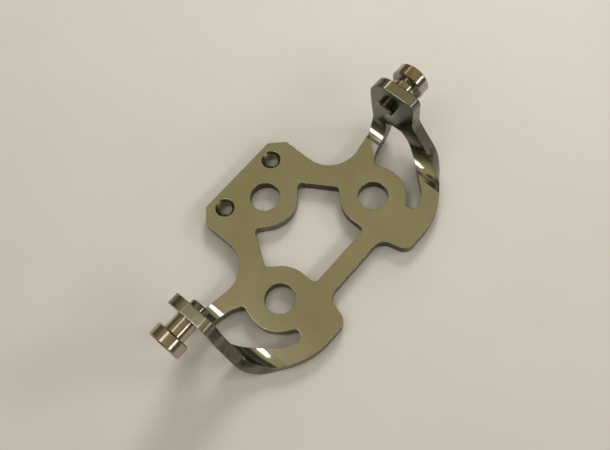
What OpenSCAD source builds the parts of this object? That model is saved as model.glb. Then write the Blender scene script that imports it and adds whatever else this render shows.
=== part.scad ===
// Bent sheet bracket with two headed side pins.
// Millimetres, +Z up. The origin lies on the underside of the plate, halfway
// between the two side hub bores. +Y points to the long straight edge, +X to the right arm.

/* [Sheet] */
// Thickness of the steel sheet
sheet = 2.5; // [2:0.1:3.2]
// Inside radius of the two press bends
bend_inner = 3; // [2.5:0.1:4]
// Half width between the lines where the bends start
bend_start = 26; // [25:0.1:32]
// Steps of the leg edges through a bend
bend_steps = 15; // [8:1:20]

/* [Hub bores] */
// Diameter of the three plain hub bores
hub_bore_d = 6.6; // [4:0.1:8]
// Spacing of the two side hub bores
hub_spacing = 30; // [25:0.1:32]
// Distance of the middle hub bore from the line of the side bores
hub_rise = 18; // [17:0.1:19]
// Outer radius of the ring of sheet around each hub bore
hub_ring_r = 7.1; // [6:0.1:7.5]

/* [Threaded holes] */
// Thread diameter of the two small holes
thread_d = 4; // [3:0.1:5]
// Pitch of the thread
thread_pitch = 0.7; // [0.5:0.05:1]
// Spacing of the two threaded holes
thread_spacing = 15; // [13:0.1:17]
// Distance of the threaded holes from the line of the side bores
thread_y = 23.1; // [22.5:0.1:24]
// Depth of the 45 degree countersinks at both mouths
mouth_depth = 0.5; // [0.2:0.05:0.7]

/* [Plate outline] */
// Distance of the long straight edge from the line of the side bores
long_edge_y = 26.4; // [26:0.1:32]
// Half length of the long straight edge between its corner cuts
long_edge_half = 10.1; // [9:0.1:11.5]
// Size of the corner cuts beside the long edge
corner_cut = 3; // [1:0.1:4]
// Half width of the upper part of the plate
upper_half = 13; // [12:0.1:14]
// Radius of the hollow between the upper part and each arm
waist_r = 7.05; // [6:0.05:7.5]
// Half width of the middle opening at its widest place
opening_half_w = 11.9; // [11:0.1:12.2]
// Distance of that widest place from the line of the side bores
opening_wide_y = 7.15; // [6.5:0.05:8]
// Inner edge of the crossbar, below the line of the side bores
crossbar_drop = 3.45; // [2:0.05:4]
// Width of the crossbar
crossbar_w = 4.05; // [3:0.05:5]
// Distance of the lobe edges below the line of the side bores
lobe_drop = 13.6; // [12.5:0.1:15]
// Radius of the curve from each lobe to its arm
lobe_r = 16.2; // [15.5:0.1:17]

/* [Arms] */
// Outer edge of the short leg where the bend starts
short_leg_y = 10.4; // [10:0.1:11]
// Width of the short leg
short_leg_w = 3.55; // [3:0.05:4]
// Sideways drift of the short leg through the bend
short_leg_drift = 1.1; // [0.5:0.1:1.5]
// Outer edge of the long leg where the bend starts, below the line of the side bores
long_leg_drop = 9.45; // [9:0.05:10]
// Width of the long leg along the bend line
long_leg_w = 6.3; // [5:0.1:7]
// Sideways drift of the long leg through the bend
long_leg_drift = 6.05; // [5:0.05:7]
// Narrowing of the long leg through the bend
long_leg_taper = 0.6; // [0:0.1:1]
// Bow of the leg edges through the bend
edge_bow = 0.3; // [0:0.05:0.5]
// Height of the tab tops above the face of the plate
tab_rise = 17; // [15:0.1:21]
// Side of the tab in line with the short leg
tab_hi = 12.1; // [11.8:0.1:13]
// Side of the tab in line with the long leg
tab_lo = 1; // [0.5:0.1:2]
// Height of the window head above the end of the bend
window_rise = 1.4; // [1:0.1:2]

/* [Pins] */
// Distance of the pin axis from the line of the side bores
pin_y = 7.5; // [6:0.1:8]
// Height of the pin axis above the face of the plate
pin_rise = 11.2; // [10.5:0.1:12.5]
// Diameter of the pin head
head_d = 7.6; // [6:0.1:9.2]
// Thickness of the pin head
head_t = 3; // [2:0.1:4]
// Diameter of the bare neck between tab and head
neck_d = 4.9; // [4:0.1:6]
// Length of the bare neck
neck_len = 3.6; // [2:0.1:5]
// Diameter of the tenon that passes through the tab
tenon_d = 3; // [2:0.1:3.6]
// Diameter of the closed rivet end inside the tab
rivet_d = 4; // [3.8:0.1:5]
// Height of the closed rivet end
rivet_t = 1.5; // [1:0.1:2]
// Edge break on the head and on the rivet end
edge_break = 0.3; // [0.1:0.05:0.5]

/* [Fit] */
// Radial air between the tenon and its hole in the tab
fit_gap = 0.05; // [0.03:0.01:0.1]

/* [Hidden] */
over = 1;
cutter_margin = 0.1;
round_fn = 96;
thread_depth_factor = 1.0825;

bend_outer = bend_inner + sheet;
bend_z = sheet + bend_inner;
tab_in = bend_start + bend_inner;
tab_out = tab_in + sheet;
tab_top = sheet + tab_rise;
pin_z = sheet + pin_rise;
head_x = tab_out + neck_len;
hub_x = hub_spacing / 2;
hub_inside = hub_x - hub_ring_r;
thread_core_d = thread_d - thread_depth_factor * thread_pitch;
crossbar_out = -crossbar_drop - crossbar_w;
far_y = long_edge_y + over;

// ---- leg edges across the bend, a = bend angle from 0 at the plate to 90 at the tab
function short_leg_out(a) = short_leg_y + short_leg_drift * a / 90 + edge_bow * sin(2 * a);
function short_leg_in(a) = short_leg_y - short_leg_w + short_leg_drift * a / 90;
function long_leg_out(a) = -long_leg_drop + long_leg_drift * a / 90;
function long_leg_in(a) =
    -long_leg_drop + long_leg_w + (long_leg_drift - long_leg_taper) * a / 90 + edge_bow * sin(2 * a);

// ---- rounded outlines from corners [x, y, radius]
function unit(v) = v / norm(v);
function flat(p) = [p[0], p[1]];
function corner(before, at, after) =
    at[2] <= 0 ? [flat(at)] :
    let (
        u = unit(flat(before) - flat(at)),
        w = unit(flat(after) - flat(at)),
        half = acos(max(-1, min(1, u * w))) / 2,
        centre = flat(at) + unit(u + w) * at[2] / sin(half),
        start = flat(at) + u * at[2] / tan(half) - centre,
        end = flat(at) + w * at[2] / tan(half) - centre,
        a0 = atan2(start[1], start[0]),
        turn = atan2(end[1], end[0]) - a0,
        sweep = turn > 180 ? turn - 360 : turn < -180 ? turn + 360 : turn,
        n = max(3, ceil(abs(sweep) / 8))
    ) [for (i = [0:n]) centre + at[2] * [cos(a0 + sweep * i / n), sin(a0 + sweep * i / n)]];
function rounded(p) =
    let (n = len(p)) [for (i = [0:n - 1]) each corner(p[(i + n - 1) % n], p[i], p[(i + 1) % n])];
function arc(x, y, r, a0, a1) =
    let (n = ceil(abs(a1 - a0) / 6))
    [for (i = [0:n]) [x + r * cos(a0 + (a1 - a0) * i / n), y + r * sin(a0 + (a1 - a0) * i / n), 0]];
function both_halves(p) =
    rounded(concat(p, [for (i = [len(p) - 1:-1:0]) [-p[i][0], p[i][1], p[i][2]]]));

// ---- right halves of the plate's outline and of its middle opening, and the right slot
outer_half = concat(
    [[long_edge_half, long_edge_y, 1], [upper_half, long_edge_y - corner_cut, 0.8]],
    arc(upper_half + waist_r, short_leg_y + 6.2, waist_r, 180, 279),
    [[bend_start, short_leg_out(0), 0], [bend_start, long_leg_out(0), 0]],
    arc(hub_x, lobe_r - lobe_drop, lobe_r, -50, -86),
    [[hub_x - 5.1, -lobe_drop, 2.4], [hub_x - 6.7, crossbar_out, 2.8]]);

opening_half = concat(
    arc(0, hub_rise, hub_ring_r, -88, -45),
    [[hub_ring_r, hub_rise - 3.25, 0.9], [opening_half_w, opening_wide_y, 0.6]],
    arc(hub_x, 0, hub_ring_r, 130, 180),
    [[hub_inside, -crossbar_drop, 1.1]]);

slot_points = concat(
    [[bend_start + over, short_leg_in(0), 0], [bend_start, short_leg_in(0), 0]],
    [[hub_x + 8.4, short_leg_in(0) - 0.7, 3], [hub_x + 6, short_leg_in(0) - 2.1, 0.8]],
    arc(hub_x, 0, hub_ring_r, 16, -60),
    [[hub_x + 2.55, long_leg_in(0) - 3.85, 0.8], [hub_x + 3, long_leg_in(0) - 5.85, 1.5]],
    arc(hub_x + 2.9, long_leg_in(0) + 0.55, 6.5, -78, -41),
    [[bend_start, long_leg_in(0), 0], [bend_start + over, long_leg_in(0), 0]]);

module plate_2d() {
    difference() {
        polygon(both_halves(outer_half));
        polygon(both_halves(opening_half));
        polygon(rounded(slot_points));
        mirror([1, 0]) polygon(rounded(slot_points));
    }
}

// Upright tab in side view, drawn in Y and Z
module tab_2d() {
    window_top = bend_z + window_rise;
    difference() {
        polygon(rounded([
            [long_leg_out(90), bend_z, 0], [tab_lo, bend_z + 6.1, 4], [tab_lo, tab_top, 2],
            [tab_hi, tab_top, 4.4], [tab_hi, bend_z + 7.5, 6], [short_leg_out(90), bend_z, 0]]));
        polygon(rounded([
            [long_leg_in(90), bend_z - over, 0], [long_leg_in(90), bend_z, 0],
            [long_leg_in(90) + 1.3, window_top, 1.2], [short_leg_in(90) - 1.7, window_top - 0.1, 1.4],
            [short_leg_in(90), bend_z + 0.2, 0.6], [short_leg_in(90), bend_z - over, 0]]));
    }
}

// Space beyond one leg edge, square to the sheet all through the bend:
// edge 0 lies outside the short leg, 1 between the legs, 2 outside the long leg
module edge_cutter(edge) {
    inner = bend_inner - cutter_margin;
    outer = bend_outer + cutter_margin;
    function low(a) = [short_leg_out(a), long_leg_in(a), -far_y][edge];
    function high(a) = [far_y, short_leg_in(a), long_leg_out(a)][edge];
    function at(a, r, y) = [bend_start + r * sin(a), y, bend_z - r * cos(a)];
    function ring(turn, a) =
        [at(turn, inner, low(a)), at(turn, outer, low(a)), at(turn, outer, high(a)), at(turn, inner, high(a))];
    last = bend_steps + 2;
    points = [for (i = [0:last])
        let (turn = (i - 1) * 90 / bend_steps) each ring(turn, max(0, min(90, turn)))];
    sides = [for (i = [0:last - 1], j = [0:3])
        let (p = i * 4 + j, q = i * 4 + (j + 1) % 4) each [[p, p + 4, q + 4], [p, q + 4, q]]];
    polyhedron(points, concat([[0, 1, 2, 3]], [[for (j = [3:-1:0]) last * 4 + j]], sides));
}

// Quarter turn of sheet between plate and tab, cut to the two legs
module bend() {
    difference() {
        translate([bend_start, far_y, bend_z]) rotate([90, 0, 0]) rotate([0, 0, -90])
            rotate_extrude(angle = 90, $fn = round_fn)
            translate([bend_inner, 0]) square([sheet, 2 * far_y]);
        for (edge = [0:2]) edge_cutter(edge);
    }
}

module tab() {
    difference() {
        translate([tab_in, 0, 0]) rotate([90, 0, 90]) linear_extrude(sheet) tab_2d();
        translate([tab_in - over, pin_y, pin_z]) rotate([0, 90, 0])
            cylinder(d = tenon_d + 2 * fit_gap, h = sheet + 2 * over, $fn = round_fn);
    }
}

// Core bore of a thread with a countersunk mouth on both faces
module threaded_hole() {
    core_r = thread_core_d / 2;
    translate([0, 0, -over]) cylinder(r = core_r, h = sheet + 2 * over, $fn = round_fn);
    for (z = [0, sheet]) translate([0, 0, z]) rotate_extrude($fn = round_fn)
        polygon([[0, -mouth_depth], [core_r, -mouth_depth], [core_r + mouth_depth, 0],
                 [core_r, mouth_depth], [0, mouth_depth]]);
}

// One laser-cut sheet with both arms bent up
module bracket() {
    color([0.55, 0.53, 0.42]) difference() {
        union() {
            linear_extrude(sheet) plate_2d();
            for (side = [0, 1]) mirror([side, 0, 0]) {
                bend();
                tab();
            }
        }
        for (p = [[-hub_x, 0], [hub_x, 0], [0, hub_rise]])
            translate([p[0], p[1], -over]) cylinder(d = hub_bore_d, h = sheet + 2 * over, $fn = round_fn);
        for (side = [-1, 1]) translate([side * thread_spacing / 2, thread_y, 0]) threaded_hole();
    }
}

// Turned pin: closed rivet end, tenon through the tab, bare neck and head
module pin(side) {
    c = edge_break;
    color([0.72, 0.62, 0.52])
        translate([0, pin_y, pin_z]) rotate([0, side * 90, 0]) rotate_extrude($fn = round_fn)
        polygon([
            [0, tab_in - rivet_t], [rivet_d / 2 - c, tab_in - rivet_t],
            [rivet_d / 2, tab_in - rivet_t + c], [rivet_d / 2, tab_in],
            [tenon_d / 2, tab_in], [tenon_d / 2, tab_out], [neck_d / 2, tab_out],
            [neck_d / 2, head_x], [head_d / 2 - c, head_x], [head_d / 2, head_x + c],
            [head_d / 2, head_x + head_t - c], [head_d / 2 - c, head_x + head_t],
            [0, head_x + head_t]]);
}
module pin_left() { pin(-1); }
module pin_right() { pin(1); }

bracket();
pin_left();
pin_right();
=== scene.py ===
import math

import bmesh
import bpy
from mathutils import Euler, Matrix, Vector


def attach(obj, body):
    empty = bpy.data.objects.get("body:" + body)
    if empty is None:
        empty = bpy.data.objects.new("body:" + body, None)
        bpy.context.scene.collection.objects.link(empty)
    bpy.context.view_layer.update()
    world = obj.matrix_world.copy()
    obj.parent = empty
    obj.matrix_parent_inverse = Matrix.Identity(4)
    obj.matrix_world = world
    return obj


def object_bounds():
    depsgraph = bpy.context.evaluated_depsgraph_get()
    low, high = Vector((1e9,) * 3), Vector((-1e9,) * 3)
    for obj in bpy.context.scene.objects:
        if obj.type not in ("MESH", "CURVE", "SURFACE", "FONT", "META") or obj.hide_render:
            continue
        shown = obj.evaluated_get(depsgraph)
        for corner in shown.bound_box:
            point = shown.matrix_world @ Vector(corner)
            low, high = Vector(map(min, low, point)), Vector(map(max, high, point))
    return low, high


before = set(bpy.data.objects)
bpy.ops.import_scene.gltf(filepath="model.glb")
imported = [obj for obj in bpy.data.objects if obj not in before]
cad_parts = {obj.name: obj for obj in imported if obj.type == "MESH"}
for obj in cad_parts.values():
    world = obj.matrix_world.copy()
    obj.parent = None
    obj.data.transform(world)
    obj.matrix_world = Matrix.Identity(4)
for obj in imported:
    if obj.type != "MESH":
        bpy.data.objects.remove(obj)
cad_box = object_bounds()


# ---- Bracket: one sheet of bright steel, laser cut flat, with both arms pressed up from it.
# The rolled faces are satin and nearly mirror-like; the cut walls are darker, with fine laser
# lines square to the sheet. The bending die left a shallow mark across each leg before its bend.
mm = 0.001
SHEET = 2.5 * mm
BEND_INNER = 3 * mm
BEND_START = 26 * mm
BEND_HEIGHT = SHEET + BEND_INNER
BEND_MIDDLE_R = BEND_INNER + SHEET / 2
TAB_IN = BEND_START + BEND_INNER
TAB_OUT = TAB_IN + SHEET
HUB_BORES = [(-15 * mm, 0, 0), (15 * mm, 0, 0), (0, 18 * mm, 0)]
HUB_BORE_R = 3.3 * mm
LONG_LEG_DROP = 9.45 * mm
LONG_LEG_DRIFT = 6.05 * mm
SHORT_LEG_DRIFT = 1.1 * mm
QUARTER_TURN = math.pi / 2

LASER_LINE = 0.002 * mm
SPECKLE_HEIGHT = 0.0010 * mm
SCRATCH_DEPTH = 0.0012 * mm
DIE_MARK_WIDTH = 1.1 * mm
DIE_MARK_DEPTH = 0.09 * mm
DIE_MARK_END_Y = (-7.2 * mm, -4.2 * mm)
LEGS_PART_Y = (4.4 * mm, 4.8 * mm)
LEFT_RIM_SLOPE, LEFT_RIM_WIDTH = 0.16, 3.4 * mm
RIGHT_RIM_SLOPE, RIGHT_RIM_WIDTH = -0.45, 4.6 * mm
RIM_FROM = (BEND_START - 1.5 * mm, BEND_START + 0.5 * mm)
PLATE_EDGE_R = 0.12 * mm
TAB_EDGE_R = 0.30 * mm
EDGE_GROWS_Z = (8 * mm, 14 * mm)
BORE_WALL = (HUB_BORE_R + 0.05 * mm, HUB_BORE_R + 0.25 * mm)
ROLLED_FACE = (0.75, 0.93)
FACES_UP = (0.8, 0.95)
FACES_IN = (-0.95, -0.35)
SCRATCHED = (0.70, 0.76)
SCUFFED = (0.71, 0.77)

WHITE = (1, 1, 1, 1)
FACE_LIGHT = (0.57, 0.565, 0.50, 1)
FACE_DARK = (0.47, 0.465, 0.40, 1)
CUT_LIGHT = (0.25, 0.245, 0.21, 1)
CUT_DARK = (0.15, 0.147, 0.125, 1)
UP_WALL_SHEEN = 0.8
BORE_SHADE = (0.60, 0.54, 0.42, 1)
TAB_SHADE = (0.36, 0.365, 0.34, 1)
TAB_SHADE_DARK = (0.12, 0.125, 0.11, 1)
TAB_DARK_Y = (4 * mm, 9.5 * mm)
TAB_DARK_Z = (6 * mm, 9 * mm)
SHADE_SPECULAR_TINT = 0.62
FACE_ROUGH = (0.105, 0.13)
WALL_ROUGH = (0.22, 0.34)
SCRATCH_ROUGH = 0.06
TAB_INNER_ROUGH = 0.12


def add(tree, kind, inputs=(), **settings):
    """One shader node; inputs are (socket, source socket or value) pairs."""
    made = tree.nodes.new("ShaderNode" + kind)
    for name, value in settings.items():
        setattr(made, name, value)
    for socket, source in inputs:
        if isinstance(source, bpy.types.NodeSocket):
            tree.links.new(source, made.inputs[socket])
        else:
            made.inputs[socket].default_value = source
    return made


def calc(tree, operation, a, b=0.0, c=0.0):
    """Result of one Math node."""
    return add(tree, "Math", [(0, a), (1, b), (2, c)], operation=operation).outputs[0]


def vector(tree, operation, a, b=(0, 0, 0), scale=1.0):
    """Result of one Vector Math node, which is a number when the operation measures."""
    made = add(tree, "VectorMath", [(0, a), (1, b), (3, scale)], operation=operation)
    return made.outputs["Value" if operation in ("DOT_PRODUCT", "DISTANCE", "LENGTH") else "Vector"]


def parts(tree, source):
    """The X, Y and Z of a vector."""
    return add(tree, "SeparateXYZ", [(0, source)]).outputs[:3]


def join(tree, x=0.0, y=0.0, z=0.0):
    """A vector made of three numbers."""
    return add(tree, "CombineXYZ", [(0, x), (1, y), (2, z)]).outputs[0]


def spread(tree, value, low, high, to_low, to_high, **settings):
    """A value mapped from one range to another and clamped there."""
    made = add(tree, "MapRange", [("Value", value), ("From Min", low), ("From Max", high),
                                  ("To Min", to_low), ("To Max", to_high)], **settings)
    return made.outputs["Result"]


def vary(tree, noise, low=0.0, high=1.0):
    """Noise stretched so that it runs from low to high."""
    return spread(tree, noise, 0.3, 0.7, low, high)


def weigh(tree, a, share_a, b, share_b):
    """Two values added by their shares."""
    return calc(tree, "ADD", calc(tree, "MULTIPLY", a, share_a), calc(tree, "MULTIPLY", b, share_b))


def blend(tree, factor, first, second, **settings):
    """Colour that goes from first to second with the factor."""
    made = add(tree, "Mix", [(0, factor), (6, first), (7, second)], data_type="RGBA", **settings)
    return made.outputs[2]


def blend_value(tree, factor, first, second):
    """Number that goes from first to second with the factor."""
    return add(tree, "Mix", [(0, factor), (2, first), (3, second)], data_type="FLOAT").outputs[0]


def grain(tree, place, scale, detail=2.0, stretch=(1, 1, 1), turn=0.0):
    """Noise from 0 to 1 with cells about 1/scale metres long, longer where stretch is under 1."""
    mapped = add(tree, "Mapping", [("Vector", place), ("Rotation", (0, 0, turn)), ("Scale", stretch)])
    noise = add(tree, "TexNoise", [("Vector", mapped.outputs[0]), ("Scale", scale), ("Detail", detail)])
    return noise.outputs["Fac"]


def new_metal(name):
    """A material whose Principled shader is a bare metal."""
    material = bpy.data.materials.new(name)
    material.use_nodes = True
    shader = material.node_tree.nodes["Principled BSDF"]
    shader.inputs["Metallic"].default_value = 1.0
    return material, material.node_tree, shader


def sheet_steel():
    material, tree, shader = new_metal("satin_sheet_steel")
    link = tree.links.new
    place = add(tree, "TexCoord").outputs["Object"]
    x, y, z = parts(tree, place)
    out = calc(tree, "ABSOLUTE", x)
    side = calc(tree, "SIGN", x)
    true_normal = add(tree, "NewGeometry").outputs["True Normal"]
    normal_x, normal_y, normal_z = parts(tree, true_normal)

    # direction through the sheet: upright in the plate, turning with the bends, level in the tabs
    beyond = calc(tree, "MAXIMUM", calc(tree, "SUBTRACT", out, BEND_START), 0.0)
    below = calc(tree, "MINIMUM", calc(tree, "SUBTRACT", z, BEND_HEIGHT), 0.0)
    reach = join(tree, calc(tree, "MULTIPLY", beyond, side), 0.0, below)
    through = vector(tree, "NORMALIZE", reach)
    turn = calc(tree, "ARCTAN2", beyond, calc(tree, "MULTIPLY", below, -1.0))
    in_bend = calc(tree, "MULTIPLY", calc(tree, "GREATER_THAN", beyond, 0.0),
                   calc(tree, "LESS_THAN", below, 0.0))

    # masks: the cut walls, the walls that face up, the tabs' inner faces and their part in the
    # deepest painted shade, and the walls of the hub bores
    across = calc(tree, "ABSOLUTE", vector(tree, "DOT_PRODUCT", through, true_normal))
    cut = spread(tree, across, *ROLLED_FACE, 1.0, 0.0)
    top_side = spread(tree, normal_z, *FACES_UP, 0.0, 1.0)
    inner_face = spread(tree, calc(tree, "MULTIPLY", normal_x, side), *FACES_IN, 1.0, 0.0)
    deep_shade_part = calc(tree, "MULTIPLY", spread(tree, y, *TAB_DARK_Y, 1.0, 0.0),
                     spread(tree, z, *TAB_DARK_Z, 0.0, 1.0))
    nearest = 1.0
    for hub in HUB_BORES:
        nearest = calc(tree, "MINIMUM", vector(tree, "DISTANCE", join(tree, x, y), hub), nearest)
    in_bore = spread(tree, nearest, *BORE_WALL, 1.0, 0.0)

    # patterns: clouds, rolled grain and two sets of scratches on the faces, laser lines on the walls
    mottle = grain(tree, place, scale=95, detail=4.0)
    rolling = grain(tree, place, scale=900, detail=3.0, stretch=(0.12, 4.0, 0.12), turn=0.06)
    speckle = grain(tree, place, scale=2600)
    scratch = grain(tree, place, scale=130, stretch=(0.35, 22, 0.35), turn=0.95)
    scuff = grain(tree, place, scale=110, stretch=(0.3, 18, 0.3), turn=-0.5)
    marks = calc(tree, "MAXIMUM", spread(tree, scratch, *SCRATCHED, 0.0, 1.0),
                 spread(tree, scuff, *SCUFFED, 0.0, 1.0))
    scale_film = grain(tree, place, scale=700, detail=3.0)
    depth = vector(tree, "DOT_PRODUCT", through, reach)
    level = vector(tree, "SUBTRACT", place, vector(tree, "SCALE", through, scale=depth))
    arc = join(tree, z=calc(tree, "MULTIPLY", turn, BEND_MIDDLE_R))
    laser = grain(tree, vector(tree, "ADD", level, arc), scale=5200, detail=1.0)

    face_colour = blend(tree, vary(tree, weigh(tree, mottle, 0.85, rolling, 0.15)), FACE_DARK, FACE_LIGHT)
    cut_colour = blend(tree, vary(tree, weigh(tree, laser, 0.6, scale_film, 0.4)), CUT_DARK, CUT_LIGHT)
    # painted sheen: cut walls that face up, mostly the tab tops, take the face colour a little darker
    # instead of the darker cut colour
    painted_sheen_top = vector(tree, "SCALE", face_colour, scale=UP_WALL_SHEEN)
    colour = blend(tree, cut, face_colour, blend(tree, top_side, cut_colour, painted_sheen_top))
    # painted shade: the tabs' inner faces are darkened in the colour, most of all at their low back part
    tab_shade = blend(tree, deep_shade_part, TAB_SHADE, TAB_SHADE_DARK)
    # painted shade on the walls of the hub bores, multiplied into the colour
    bore_shade = blend(tree, calc(tree, "MULTIPLY", in_bore, cut), WHITE, BORE_SHADE)
    tone_and_shade = blend(tree, inner_face, bore_shade, tab_shade)
    link(blend(tree, 1.0, colour, tone_and_shade, blend_type="MULTIPLY"), shader.inputs["Base Color"])
    # painted shade also dims the reflection on that low back part of the tabs
    link(spread(tree, calc(tree, "MULTIPLY", deep_shade_part, inner_face), 0.0, 1.0, 1.0, SHADE_SPECULAR_TINT),
         shader.inputs["Specular Tint"])

    scratched = calc(tree, "MULTIPLY", marks, SCRATCH_ROUGH)
    face_rough = calc(tree, "ADD", vary(tree, rolling, *FACE_ROUGH), scratched)
    face_rough = calc(tree, "ADD", face_rough, calc(tree, "MULTIPLY", inner_face, TAB_INNER_ROUGH))
    wall_rough = blend_value(tree, top_side, vary(tree, scale_film, *WALL_ROUGH), face_rough)
    link(blend_value(tree, cut, face_rough, wall_rough), shader.inputs["Roughness"])

    # heights in metres: the die mark on the inner part of each leg, the rim of each long leg,
    # which curls up at the left and rolls off at the right, and the fine marks
    die_mark = spread(tree, out, BEND_START - DIE_MARK_WIDTH, BEND_START, 0.0, -DIE_MARK_DEPTH,
                      interpolation_type="SMOOTHSTEP")
    die_mark = calc(tree, "MULTIPLY", die_mark, spread(tree, y, *DIE_MARK_END_Y, 0.0, 1.0))
    rim_y = calc(tree, "MULTIPLY_ADD", turn, LONG_LEG_DRIFT / QUARTER_TURN, -LONG_LEG_DROP)
    rim_width = spread(tree, side, -1.0, 1.0, LEFT_RIM_WIDTH, RIGHT_RIM_WIDTH)
    rim_curve = spread(tree, side, -1.0, 1.0, LEFT_RIM_SLOPE / (2 * LEFT_RIM_WIDTH),
                       RIGHT_RIM_SLOPE / (2 * RIGHT_RIM_WIDTH))
    from_rim = calc(tree, "SUBTRACT", y, rim_y)
    to_rim = calc(tree, "MINIMUM", calc(tree, "SUBTRACT", from_rim, rim_width), 0.0)
    rim = calc(tree, "MULTIPLY", calc(tree, "POWER", to_rim, 2.0), rim_curve)
    rim = calc(tree, "MULTIPLY", rim, spread(tree, out, *RIM_FROM, 0.0, 1.0))
    fine = weigh(tree, speckle, SPECKLE_HEIGHT, marks, -SCRATCH_DEPTH)
    face_height = calc(tree, "ADD", calc(tree, "ADD", die_mark, rim), fine)
    height = blend_value(tree, cut, face_height, calc(tree, "MULTIPLY", laser, LASER_LINE))

    # the walls stay square to the sheet through the bend, so their normal leans back along the arc
    leg_drift = spread(tree, y, *LEGS_PART_Y, LONG_LEG_DRIFT, SHORT_LEG_DRIFT)
    radius = vector(tree, "LENGTH", reach)
    lean = calc(tree, "MULTIPLY", calc(tree, "DIVIDE", leg_drift, radius), side)
    lean = calc(tree, "DIVIDE", lean, QUARTER_TURN)
    radial_x, _, radial_z = parts(tree, through)
    leaning = join(tree, calc(tree, "MULTIPLY", radial_z, lean), 1.0,
                   calc(tree, "MULTIPLY", calc(tree, "MULTIPLY", radial_x, lean), -1.0))
    turned = vector(tree, "SCALE", leaning, scale=calc(tree, "SIGN", normal_y))
    wall_normal = vector(tree, "NORMALIZE", turned)
    edge_r = spread(tree, z, *EDGE_GROWS_Z, PLATE_EDGE_R, TAB_EDGE_R)
    rounded = add(tree, "Bevel", [("Radius", edge_r)], samples=8)
    normal = add(tree, "Mix", [(0, calc(tree, "MULTIPLY", in_bend, cut)), (4, rounded.outputs["Normal"]),
                               (5, wall_normal)], data_type="VECTOR")
    bump = add(tree, "Bump", [("Height", height), ("Distance", 1.0), ("Strength", 1.0),
                              ("Normal", normal.outputs[1])])
    link(bump.outputs["Normal"], shader.inputs["Normal"])
    return material


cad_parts["bracket"].material_slots[0].material = sheet_steel()


# ---- Thread turns in the two small holes beside the long straight edge.
# The 4 mm thread is tapped straight into the sheet, so each helix is part of the hole's wall:
# a low ridge of steel that winds up between the two countersunk mouths.
THREADED_HOLES = {"thread_turns_left": (-7.5 * mm, 23.1 * mm), "thread_turns_right": (7.5 * mm, 23.1 * mm)}
THREAD_PITCH = 0.7 * mm
THREAD_ROOT_R = 1.95 * mm
THREAD_CREST_R = 1.46 * mm
THREAD_ROOT_HALF = 0.31 * mm
THREAD_CREST_HALF = 0.05 * mm
THREAD_LOW = 0.32 * mm
THREAD_RISE = SHEET - 2 * THREAD_LOW
THREAD_TURNS = THREAD_RISE / THREAD_PITCH
STEPS_PER_TURN = 40
THREAD_STEPS = round(STEPS_PER_TURN * THREAD_TURNS)
THREAD_DARK = (0.13, 0.115, 0.09, 1)
THREAD_LIGHT = (0.32, 0.29, 0.225, 1)
THREAD_ROUGH = (0.22, 0.38)
TOOL_MARK = 0.01 * mm

tapped_steel, tree, shader = new_metal("tapped_thread_steel")
tone = grain(tree, add(tree, "TexCoord").outputs["Object"], scale=1800, detail=3.0)
tree.links.new(blend(tree, vary(tree, tone), THREAD_DARK, THREAD_LIGHT), shader.inputs["Base Color"])
tree.links.new(vary(tree, tone, *THREAD_ROUGH), shader.inputs["Roughness"])
bump = add(tree, "Bump", [("Height", calc(tree, "MULTIPLY", tone, TOOL_MARK)), ("Distance", 1.0)])
tree.links.new(bump.outputs["Normal"], shader.inputs["Normal"])

for name, (hole_x, hole_y) in THREADED_HOLES.items():
    bm = bmesh.new()
    ridge = [(THREAD_ROOT_R, -THREAD_ROOT_HALF), (THREAD_CREST_R, -THREAD_CREST_HALF),
             (THREAD_CREST_R, THREAD_CREST_HALF), (THREAD_ROOT_R, THREAD_ROOT_HALF)]
    corners = [bm.verts.new((hole_x + r, hole_y, THREAD_LOW + h)) for r, h in ridge]
    start = bm.faces.new(corners)
    bmesh.ops.spin(bm, geom=[start] + list(start.edges) + corners, cent=(hole_x, hole_y, 0),
                   axis=(0, 0, 1), dvec=(0, 0, THREAD_RISE / THREAD_STEPS),
                   angle=math.tau * THREAD_TURNS, steps=THREAD_STEPS, use_duplicate=False)
    bmesh.ops.recalc_face_normals(bm, faces=bm.faces)
    mesh = bpy.data.meshes.new(name)
    bm.to_mesh(mesh)
    bm.free()
    mesh.materials.append(tapped_steel)
    turns_piece = bpy.data.objects.new(name, mesh)
    bpy.context.scene.collection.objects.link(turns_piece)
    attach(turns_piece, "root")


# ---- Side pins: turned steel, each riveted through the tab at the end of its arm.
# Fine turning rings run round the head and the neck and over the end faces; the steel is
# a little warmer than the sheet, with painted shade on the rivet end and on the back of the head.
PIN_Y = 7.5 * mm
PIN_Z = SHEET + 11.2 * mm
PIN_LIGHT = (0.52, 0.465, 0.405, 1)
PIN_DARK = (0.40, 0.35, 0.295, 1)
RIVET_SHADE = 0.45
RIVET_FACE = (TAB_IN - 0.5 * mm, TAB_IN + 0.5 * mm)
HEAD_BACK_SHADE = 0.65
HEAD_BACK_FACES = (-0.9, -0.5)
HEAD_BACK_FROM = (TAB_OUT + 1.5 * mm, TAB_OUT + 2.5 * mm)
PIN_ROUGH = (0.12, 0.22)
TURNING_RING = 0.012 * mm


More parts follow.
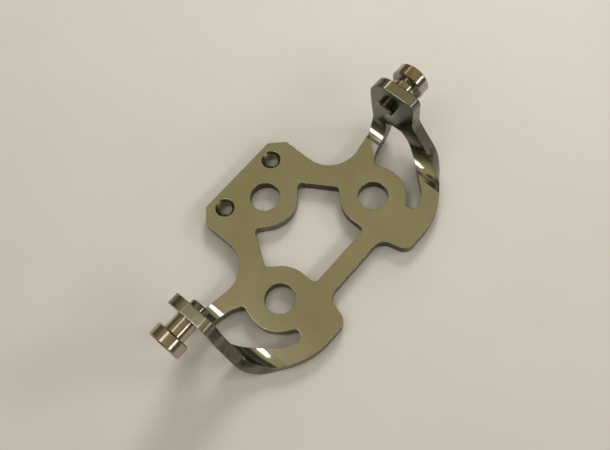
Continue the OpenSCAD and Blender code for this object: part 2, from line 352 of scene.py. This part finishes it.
def turned_steel():
    material, tree, shader = new_metal("turned_pin_steel")
    link = tree.links.new
    place = add(tree, "TexCoord").outputs["Object"]
    centred = add(tree, "Mapping", [("Vector", place), ("Location", (0, -PIN_Y, -PIN_Z))])
    x, y, z = parts(tree, centred.outputs[0])
    out = calc(tree, "ABSOLUTE", x)
    radius = calc(tree, "SQRT", calc(tree, "ADD", calc(tree, "POWER", y, 2.0), calc(tree, "POWER", z, 2.0)))

    # the rings follow the length of a barrel and the radius of an end face
    travel = join(tree, calc(tree, "ADD", out, radius))
    rings = grain(tree, travel, scale=7000)
    bands = grain(tree, travel, scale=1300)
    tone_and_shade = grain(tree, place, scale=420, detail=3.0)
    colour = blend(tree, vary(tree, weigh(tree, bands, 0.5, tone_and_shade, 0.5)), PIN_DARK, PIN_LIGHT)

    normal_x = parts(tree, add(tree, "NewGeometry").outputs["True Normal"])[0]
    outward = calc(tree, "MULTIPLY", normal_x, calc(tree, "SIGN", x))
    # painted shade: the colour is darker on the rivet end inside the tab and on the back of the head, which
    # faces the tab
    head_back = calc(tree, "MULTIPLY", spread(tree, outward, *HEAD_BACK_FACES, 1.0, 0.0),
                     spread(tree, out, *HEAD_BACK_FROM, 0.0, 1.0))
    tone = calc(tree, "MULTIPLY", spread(tree, out, *RIVET_FACE, RIVET_SHADE, 1.0),
                spread(tree, head_back, 0.0, 1.0, 1.0, HEAD_BACK_SHADE))
    link(vector(tree, "SCALE", colour, scale=tone), shader.inputs["Base Color"])
    link(vary(tree, bands, *PIN_ROUGH), shader.inputs["Roughness"])
    rounded = add(tree, "Bevel", [("Radius", PLATE_EDGE_R)], samples=6)
    bump = add(tree, "Bump", [("Height", calc(tree, "MULTIPLY", rings, TURNING_RING)), ("Distance", 1.0),
                              ("Normal", rounded.outputs["Normal"])])
    link(bump.outputs["Normal"], shader.inputs["Normal"])
    return material


pin_steel = turned_steel()
for pin in ("pin_left", "pin_right"):
    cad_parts[pin].material_slots[0].material = pin_steel


# ---- Table top: a pale cream laminate board, dull, with hardly any pattern.
# The bracket lies flat on it on the plate's underside, with nothing to hold it.
TABLE_HALF = 12
TABLE_DROP = 0.02 * mm
LAMINATE_DARK = (0.80, 0.765, 0.70, 1)
LAMINATE_LIGHT = (0.825, 0.79, 0.73, 1)
LAMINATE_CLOUDS = (0.35, 0.65)
LAMINATE_ROUGH = 0.62
LAMINATE_GLOSS = 0.25

bm = bmesh.new()
bmesh.ops.create_grid(bm, x_segments=1, y_segments=1, size=TABLE_HALF)
bmesh.ops.translate(bm, verts=bm.verts, vec=(0, 0, cad_box[0].z - TABLE_DROP))
table_mesh = bpy.data.meshes.new("table_top")
bm.to_mesh(table_mesh)
bm.free()
table = bpy.data.objects.new("table_top", table_mesh)
bpy.context.scene.collection.objects.link(table)
laminate = bpy.data.materials.new("cream_laminate")
laminate.use_nodes = True
tree = laminate.node_tree
shader = tree.nodes["Principled BSDF"]
cloudy = grain(tree, add(tree, "TexCoord").outputs["Object"], scale=22, detail=3.0)
tree.links.new(blend(tree, spread(tree, cloudy, *LAMINATE_CLOUDS, 0.0, 1.0), LAMINATE_DARK, LAMINATE_LIGHT),
               shader.inputs["Base Color"])
shader.inputs["Roughness"].default_value = LAMINATE_ROUGH
shader.inputs["Specular IOR Level"].default_value = LAMINATE_GLOSS
table_mesh.materials.append(laminate)


# ---- Light: five soft panels over the table, in a dim room with a warm olive ceiling.
# The long panel above gives the white bands in the bends. The two small ones at the right throw
# the soft shadows, and those at the back and front light the rims. The metal mirrors a dark wall.
CEILING = [(0.25, (0.13, 0.11, 0.08, 1)), (0.6, (0.20, 0.17, 0.10, 1)), (0.86, (0.40, 0.34, 0.18, 1))]
CEILING_LOW = (0.11, 0.095, 0.075, 1)
CEILING_TOP = (0.42, 0.355, 0.185, 1)
CEILING_UP = (0.10, 0.06, 0.99)
WALL_TOWARDS = (0.76, 0.22, 0.61)
WALL_EDGE = (0.90, 0.97)
WALL_COLOUR = (0.05, 0.05, 0.04, 1)
FILL_LIGHT = (0.300, 0.270, 0.210, 1)
BACKDROP = (0.56, 0.53, 0.47, 1)


def soft_panel(name, direction, along, distance, size, power, colour, mirrored=True):
    """Area light that faces the object from a direction, its long side lying along a vector."""
    lamp = bpy.data.lights.new(name, "AREA")
    lamp.shape = "RECTANGLE"
    lamp.size, lamp.size_y = size
    lamp.energy = power
    lamp.color = colour
    panel = bpy.data.objects.new(name, lamp)
    away = Vector(direction).normalized()
    across = away.cross(Vector(along)).normalized()
    panel.visible_glossy = mirrored
    panel.matrix_world = Matrix.Translation(away * distance) @ Matrix(
        (across.cross(away), across, away)).transposed().to_4x4()
    bpy.context.scene.collection.objects.link(panel)


soft_panel("panel_above", (-0.25, 0.30, 0.92), (-0.9, 0.43, 0), 0.80, (0.42, 0.17), 0.62, (0.97, 0.99, 1.0))
soft_panel("panel_back_right", (0.70, 0.42, 0.55), (-0.5, 0.8, 0), 0.36, (0.11, 0.11), 0.50,
           (1.0, 0.99, 0.985), mirrored=False)
soft_panel("panel_right", (0.70, -0.60, 0.42), (0.6, 0.7, 0), 0.60, (0.14, 0.14), 0.62,
           (1.0, 0.985, 0.97), mirrored=False)
soft_panel("panel_back", (0.46, 0.60, 0.66), (1, 0, 0), 0.60, (0.20, 0.04), 0.035, (1.0, 0.97, 0.85))
soft_panel("panel_front", (0.22, -0.80, 0.56), (1, 0, 0), 0.80, (0.50, 0.12), 0.95, (1.0, 0.98, 0.95))

world = bpy.data.worlds.new("dim_room")
world.use_nodes = True
bpy.context.scene.world = world
tree = world.node_tree
look = add(tree, "TexCoord").outputs["Generated"]
rise = spread(tree, vector(tree, "DOT_PRODUCT", look, CEILING_UP), 0.0, 1.0, 0.0, 1.0)
room = add(tree, "ValToRGB", [(0, rise)])
room.color_ramp.elements[0].color = CEILING_LOW
room.color_ramp.elements[1].color = CEILING_TOP
for stop, colour in CEILING:
    room.color_ramp.elements.new(stop).color = colour
wall = spread(tree, vector(tree, "DOT_PRODUCT", look, WALL_TOWARDS), *WALL_EDGE, 0.0, 1.0)
ray = add(tree, "LightPath").outputs
mirrored_room = blend(tree, wall, room.outputs["Color"], WALL_COLOUR)
lit_room = blend(tree, ray["Is Diffuse Ray"], mirrored_room, FILL_LIGHT)
seen_room = blend(tree, ray["Is Camera Ray"], lit_room, BACKDROP)
tree.links.new(seen_room, tree.nodes["Background"].inputs["Color"])

bpy.context.scene.view_settings.view_transform = "Standard"


# ---- Camera: close above the plate, looking down and a little to the back right.
# It stands about as far away as a hand-held one would, and everything is in focus.
CAMERA_AT = (-38.236 * mm, -45.673 * mm, SHEET + 156.422 * mm)
CAMERA_TURN = (22.1335, 4.994, -48.5452)
SENSOR_WIDTH = 36
LENS = 46.78
NEAREST_SEEN = 0.01

camera_data = bpy.data.cameras.new("camera")
camera_data.sensor_width = SENSOR_WIDTH
camera_data.lens = LENS
camera_data.clip_start = NEAREST_SEEN
camera = bpy.data.objects.new("camera", camera_data)
camera.location = CAMERA_AT
camera.rotation_euler = Euler([math.radians(angle) for angle in CAMERA_TURN])
bpy.context.scene.collection.objects.link(camera)
bpy.context.scene.camera = camera
